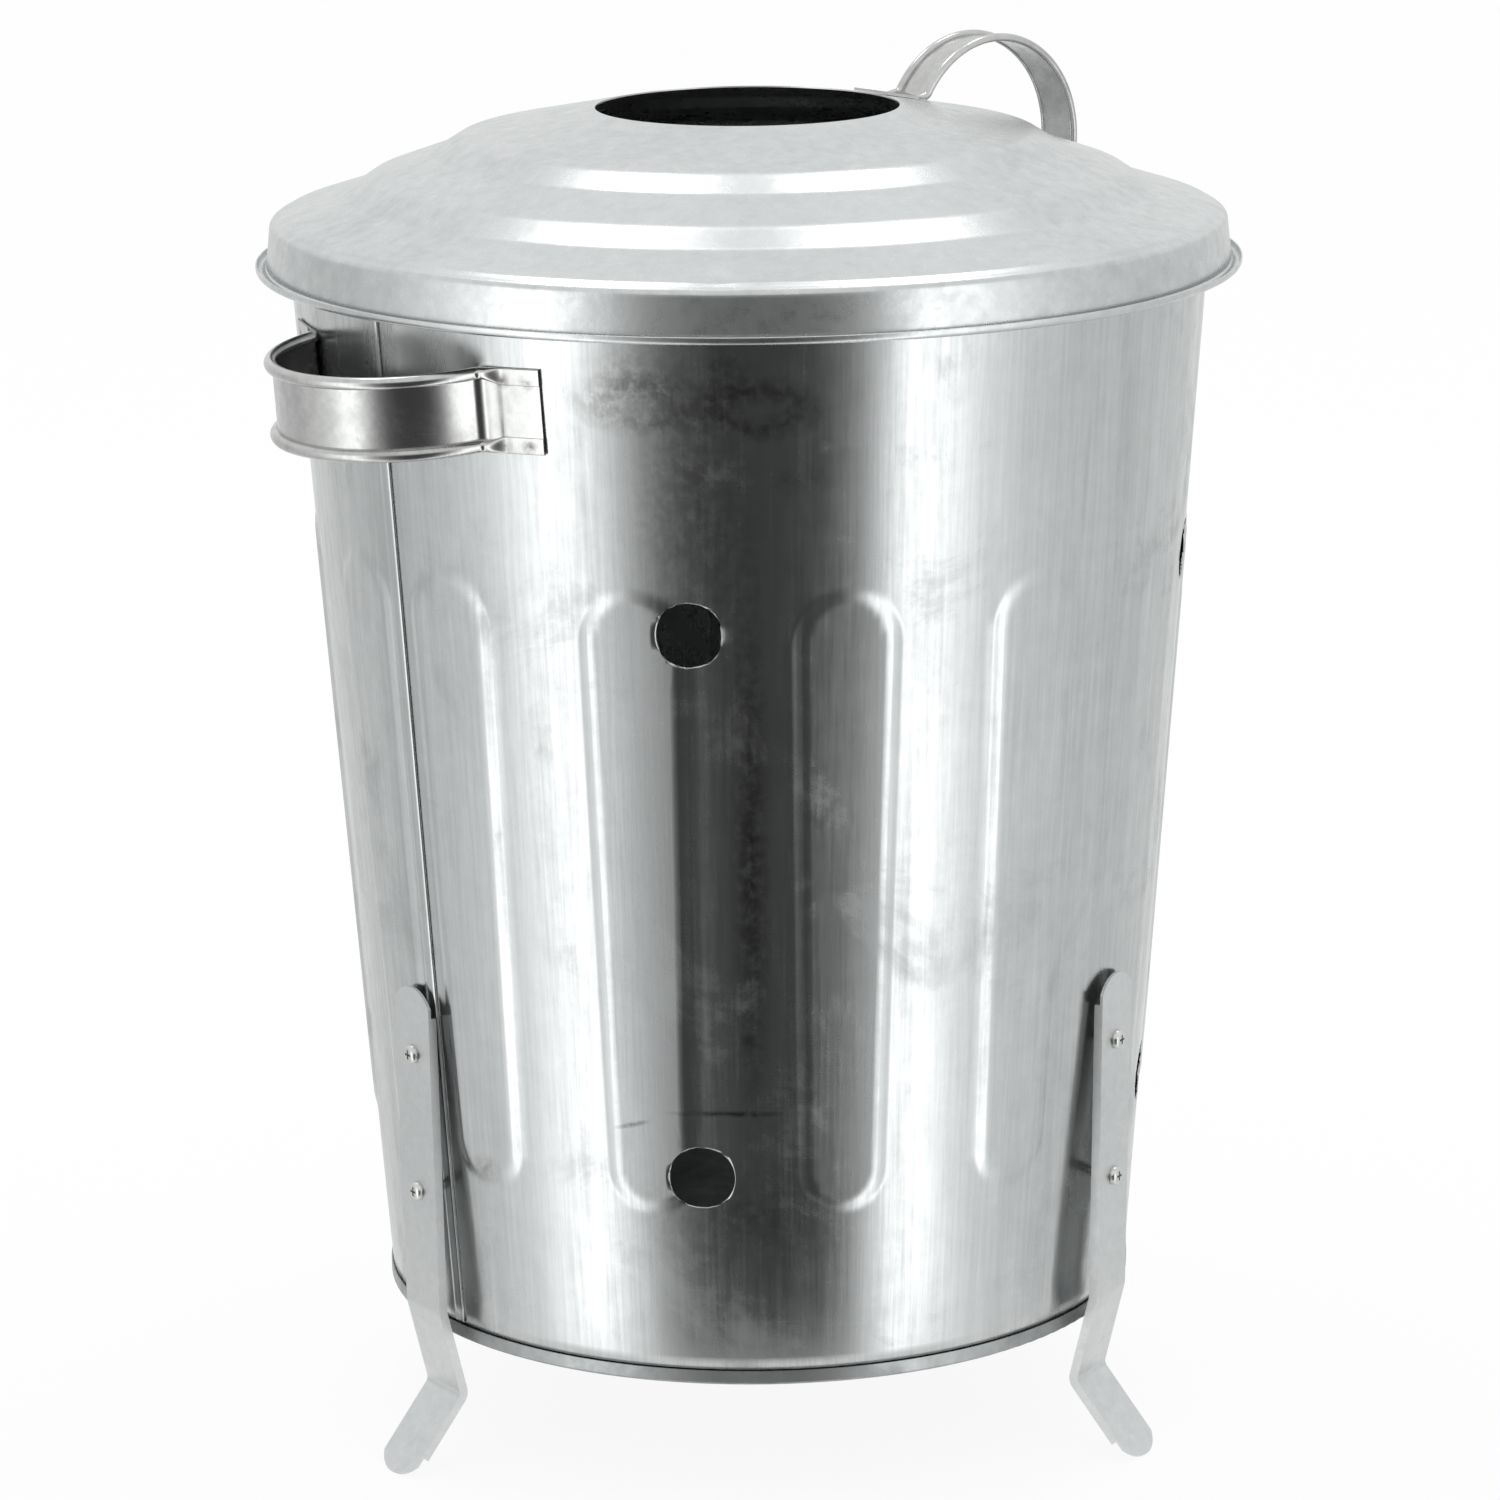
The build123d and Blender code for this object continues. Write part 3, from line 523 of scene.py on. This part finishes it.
GRIP_WELDS = [
    (side + turn, GRIP_Z + rise, 0.0, 4.6, 1.0, 0.0, 1.0)
    for side in (-90, 90) for turn in (-23.6, -20.2, 20.2, 23.6) for rise in (-15, 15)
]


def zinc(name, bright, dark, rough, rough_spread, spangle, mottle, streak, grime, bump, placed=()):
    """Galvanised sheet: bright and dark tones mixed by spangle, streaks and grime, which change its gloss too."""
    material = bpy.data.materials.new(name)
    material.use_nodes = True
    tree = material.node_tree
    tree.nodes.clear()
    n = Nodes(tree)
    crystals = n.add("ShaderNodeGroup", {"node_tree": SPANGLE}, Scale=spangle).outputs
    rolled = n.add("ShaderNodeGroup", {"node_tree": STREAKS}).outputs
    marks = n.add("ShaderNodeGroup", {"node_tree": GRIME}, Amount=grime).outputs
    tone = n.math("MULTIPLY", crystals["Mottle"], mottle * 0.5)
    tone = n.math("ADD", tone, n.math("MULTIPLY", crystals["Cells"], mottle * 0.2))
    tone = n.math("ADD", tone, n.math("MULTIPLY", crystals["Cloud"], mottle * 0.3))
    tone = n.math("ADD", tone, n.math("MULTIPLY", rolled["Streak"], streak * 0.6))
    tone = n.math("ADD", tone, n.math("MULTIPLY", rolled["Broad"], streak * 0.4))
    tone = n.math("ADD", tone, n.math("MULTIPLY", marks["Grime"], 0.30 * grime), clamp=True)
    colour = n.mix(tone, (*bright, 1.0), (*dark, 1.0))
    # The dark colour of every placed mark: real dirt, scratches and weld marks, and on the wall a band of painted
    # shade.
    dirt_and_shade = (0.10, 0.09, 0.08, 1.0)
    for angle, height, radius, width, squash, tilt, strength in placed:
        size = {"Angle": radians(angle), "Height": height * MM, "Radius": radius * MM, "Width": width * MM}
        group = n.add("ShaderNodeGroup", {"node_tree": MARK}, Squash=squash, Tilt=tilt, **size)
        colour = n.mix(n.math("MULTIPLY", group.outputs["Mask"], strength), colour, dirt_and_shade)
    gloss = n.math("ADD", n.math("MULTIPLY", tone, rough_spread), rough)
    gloss = n.math("ADD", gloss, n.math("MULTIPLY", marks["Grime"], 0.05), clamp=True)
    relief = n.math("MULTIPLY", crystals["Mottle"], 0.6)
    relief = n.math("ADD", relief, n.math("MULTIPLY", rolled["Streak"], 0.5 * streak))
    relief = n.math("SUBTRACT", relief, n.math("MULTIPLY", marks["Scratch"], 0.5))
    surface = n.add("ShaderNodeBump", Strength=bump, Distance=0.0004, Height=relief).outputs[0]
    shader = n.add("ShaderNodeBsdfPrincipled", Roughness=gloss, Normal=surface)
    n.put(shader, "Base Color", colour)
    shader.inputs["Metallic"].default_value = 1.0
    finish = n.add("ShaderNodeOutputMaterial")
    tree.links.new(shader.outputs[0], finish.inputs[0])
    return material


def dress(piece, material):
    """Every material slot of a piece gets one finish."""
    piece.data.materials.clear()
    piece.data.materials.append(material)


WALL = zinc(
    "wall_zinc", (0.66, 0.67, 0.67), (0.40, 0.41, 0.41), rough=0.10, rough_spread=0.30,
    spangle=70.0, mottle=0.30, streak=0.55, grime=0.8, bump=0.05, placed=WALL_MARKS_AND_SHADE,
)
COVER = zinc(
    "lid_zinc", (0.70, 0.71, 0.71), (0.50, 0.51, 0.51), rough=0.22, rough_spread=0.15,
    spangle=110.0, mottle=0.9, streak=0.0, grime=0.6, bump=0.12,
)
STRAP = zinc(
    "handle_zinc", (0.64, 0.64, 0.63), (0.32, 0.32, 0.31), rough=0.16, rough_spread=0.2,
    spangle=120.0, mottle=0.6, streak=0.0, grime=0.8, bump=0.10, placed=GRIP_WELDS,
)
STRIP = zinc(
    "leg_zinc", (0.70, 0.71, 0.71), (0.55, 0.56, 0.56), rough=0.36, rough_spread=0.12,
    spangle=160.0, mottle=0.7, streak=0.0, grime=0.5, bump=0.10,
)
PAN = zinc(
    "pan_zinc", (0.44, 0.45, 0.45), (0.24, 0.25, 0.25), rough=0.28, rough_spread=0.2,
    spangle=90.0, mottle=0.8, streak=0.0, grime=0.9, bump=0.08,
)
BOLT = zinc(
    "bolt_zinc", (0.74, 0.74, 0.72), (0.40, 0.40, 0.38), rough=0.22, rough_spread=0.2,
    spangle=400.0, mottle=0.5, streak=0.0, grime=0.6, bump=0.05,
)

for piece in (front_sheet, back_sheet):
    dress(piece, WALL)
dress(lid_cover, COVER)
for piece in grips:
    dress(piece, STRAP)
for node, material in {
    "body_sheet_front": WALL, "body_sheet_back": WALL, "lid": COVER,
    "rim_wire": PAN, "base_pan": PAN, "leg_left": STRIP, "leg_right": STRIP, "leg_rear": STRIP,
    "leg_screws": BOLT, "leg_nuts": BOLT,
    "side_handle_left": STRAP, "side_handle_right": STRAP, "lid_handle": STRAP,
}.items():
    dress(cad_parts[node], material)


# Studio

VIEW_TURN = -39.26          # the camera's heading, degrees from +Y
CAMERA_AT = Vector((-1.7271, -2.1101, 1.0127))


def make_camera():
    """Camera at the photograph's place, with its slight roll."""
    data = bpy.data.cameras.new("camera")
    data.lens = 135.69
    data.sensor_width = 36.0
    data.clip_end = 100.0
    camera = bpy.data.objects.new("camera", data)
    bpy.context.collection.objects.link(camera)
    turn = Euler((0, 0, radians(VIEW_TURN))).to_matrix() @ Euler((radians(75.96), 0, 0)).to_matrix()
    turn = turn @ Euler((0, 0, radians(-0.59))).to_matrix()
    camera.matrix_world = turn.to_4x4()
    camera.location = CAMERA_AT
    bpy.context.scene.camera = camera


def disc(name, radius, z):
    """Flat round stage piece."""
    a = np.radians(np.arange(96) * 3.75)
    ring = np.stack([radius * np.cos(a), radius * np.sin(a), np.full(96, z)], -1)
    mesh = bpy.data.meshes.new(name)
    mesh.from_pydata(ring.tolist(), [], [list(range(96))])
    piece = bpy.data.objects.new(name, mesh)
    bpy.context.collection.objects.link(piece)
    return piece


def make_floor():
    """Plain pale floor: it shows near white to the camera and keeps a soft shadow of the bin."""
    floor = disc("floor", 40.0, -0.0005)
    floor.visible_glossy = False
    material = bpy.data.materials.new("floor_pale")
    material.use_nodes = True
    tree = material.node_tree
    tree.nodes.clear()
    n = Nodes(tree)
    matt = n.add("ShaderNodeBsdfDiffuse", Color=(0.93, 0.93, 0.93, 1.0)).outputs[0]
    glow = n.add("ShaderNodeEmission", Color=(1.0, 1.0, 1.0, 1.0), Strength=1.0).outputs[0]
    seen = n.add("ShaderNodeLightPath").outputs["Is Camera Ray"]
    both = tree.nodes.new("ShaderNodeMixShader")
    n.put(both, "0", n.math("MULTIPLY", seen, 0.9))
    n.put(both, "1", matt)
    n.put(both, "2", glow)
    finish = n.add("ShaderNodeOutputMaterial")
    tree.links.new(both.outputs[0], finish.inputs[0])
    dress(floor, material)
    near = disc("floor_near", 0.75, -0.0002)
    for ray in ("visible_camera", "visible_diffuse", "visible_shadow", "visible_transmission"):
        setattr(near, ray, False)
    material = bpy.data.materials.new("floor_near_pale")
    material.use_nodes = True
    tree = material.node_tree
    tree.nodes.clear()
    n = Nodes(tree)
    spot = n.add("ShaderNodeTexCoord").outputs["Object"]
    away = n.add("ShaderNodeVectorMath", {"operation": "LENGTH"}, **{"0": spot}).outputs["Value"]
    glow = n.add("ShaderNodeEmission", Color=(0.95, 0.95, 0.95, 1.0), Strength=1.0).outputs[0]
    clear = n.add("ShaderNodeBsdfTransparent").outputs[0]
    both = tree.nodes.new("ShaderNodeMixShader")
    n.put(both, "0", n.span(away, 0.24, 0.36, 0.0, 1.0))
    n.put(both, "1", glow)
    n.put(both, "2", clear)
    finish = n.add("ShaderNodeOutputMaterial")
    tree.links.new(both.outputs[0], finish.inputs[0])
    dress(near, material)


STUDIO_TURN = 129.3         # degrees that bring the camera's side to the middle of the list below
UPPER_LEVEL = 0.95          # brightness of the upper room

# Brightness of the studio round the bin, by degrees from the camera's side
STUDIO = [
    (-180, 0.90), (-130, 0.80), (-112, 0.66), (-92, 0.84), (-72, 1.10), (-62, 1.60), (-54, 2.20),
    (-46, 2.00), (-38, 1.10), (-28, 0.38), (-18, 0.10), (-8, 0.06), (14, 0.06), (24, 0.13),
    (31, 0.50), (38, 1.60), (46, 2.30), (54, 1.65), (64, 1.15), (74, 0.96), (92, 0.84),
    (114, 0.80), (180, 0.90),
]


def make_world():
    """Soft studio: a bright upper room and, lower down, a dark stretch between two bright screens."""
    world = bpy.data.worlds.new("studio")
    bpy.context.scene.world = world
    world.use_nodes = True
    tree = world.node_tree
    tree.nodes.clear()
    n = Nodes(tree)
    way = n.add("ShaderNodeTexCoord").outputs["Generated"]
    around = {"rotation_type": "Z_AXIS"}
    turned_way = n.add("ShaderNodeVectorRotate", around, Vector=way, Angle=radians(STUDIO_TURN)).outputs[0]
    part = n.add("ShaderNodeSeparateXYZ", Vector=turned_way).outputs
    turn = n.math("ARCTAN2", part["Y"], part["X"])
    share = n.math("ADD", n.math("MULTIPLY", turn, 0.5 / np.pi), 0.5)
    ramp = tree.nodes.new("ShaderNodeValToRGB")
    ramp.color_ramp.interpolation = "EASE"
    stops = ramp.color_ramp.elements
    top = max(level for _, level in STUDIO)
    while len(stops) < len(STUDIO):
        stops.new(0.5)
    for stop, (angle, level) in zip(stops, STUDIO):
        stop.position = (angle + 180) / 360.0
        stop.color = (level / top, level / top, level / top, 1.0)
    n.put(ramp, "0", share)
    low = n.math("MULTIPLY", ramp.outputs[0], top)
    rise = n.span(part["Z"], 0.10, 0.42, 0.0, 1.0)
    level = n.math("MULTIPLY", low, n.math("SUBTRACT", 1.0, rise))
    level = n.math("ADD", level, n.math("MULTIPLY", rise, UPPER_LEVEL))
    back = n.add("ShaderNodeBackground", Color=(0.985, 1.0, 1.0, 1.0), Strength=level).outputs[0]
    white = n.add("ShaderNodeBackground", Color=(1.0, 1.0, 1.0, 1.0), Strength=1.0).outputs[0]
    seen = n.add("ShaderNodeLightPath").outputs["Is Camera Ray"]
    both = tree.nodes.new("ShaderNodeMixShader")
    n.put(both, "0", seen)
    n.put(both, "1", back)
    n.put(both, "2", white)
    finish = n.add("ShaderNodeOutputWorld")
    tree.links.new(both.outputs[0], finish.inputs[0])


def make_lamp(name, toward_camera, to_the_right, up, width, power):
    """Square soft lamp over the bin, placed by distances towards the camera, to its right and up."""
    ahead = Vector((CAMERA_AT.x, CAMERA_AT.y, 0)).normalized()
    right = Vector((-ahead.y, ahead.x, 0))
    data = bpy.data.lights.new(name, "AREA")
    data.shape = "SQUARE"
    data.size = width
    data.energy = power
    lamp = bpy.data.objects.new(name, data)
    bpy.context.collection.objects.link(lamp)
    lamp.location = ahead * toward_camera + right * to_the_right + Vector((0, 0, up))
    aim = Vector((0, 0, 0.5)) - lamp.location
    lamp.rotation_euler = aim.to_track_quat("-Z", "Y").to_euler()


bpy.context.scene.view_settings.view_transform = "Standard"
make_camera()
make_floor()
make_world()
make_lamp("lamp_left", -0.9, -0.8, 3.4, 0.8, 9.0)
make_lamp("lamp_right", -0.9, 0.8, 3.4, 0.8, 9.0)
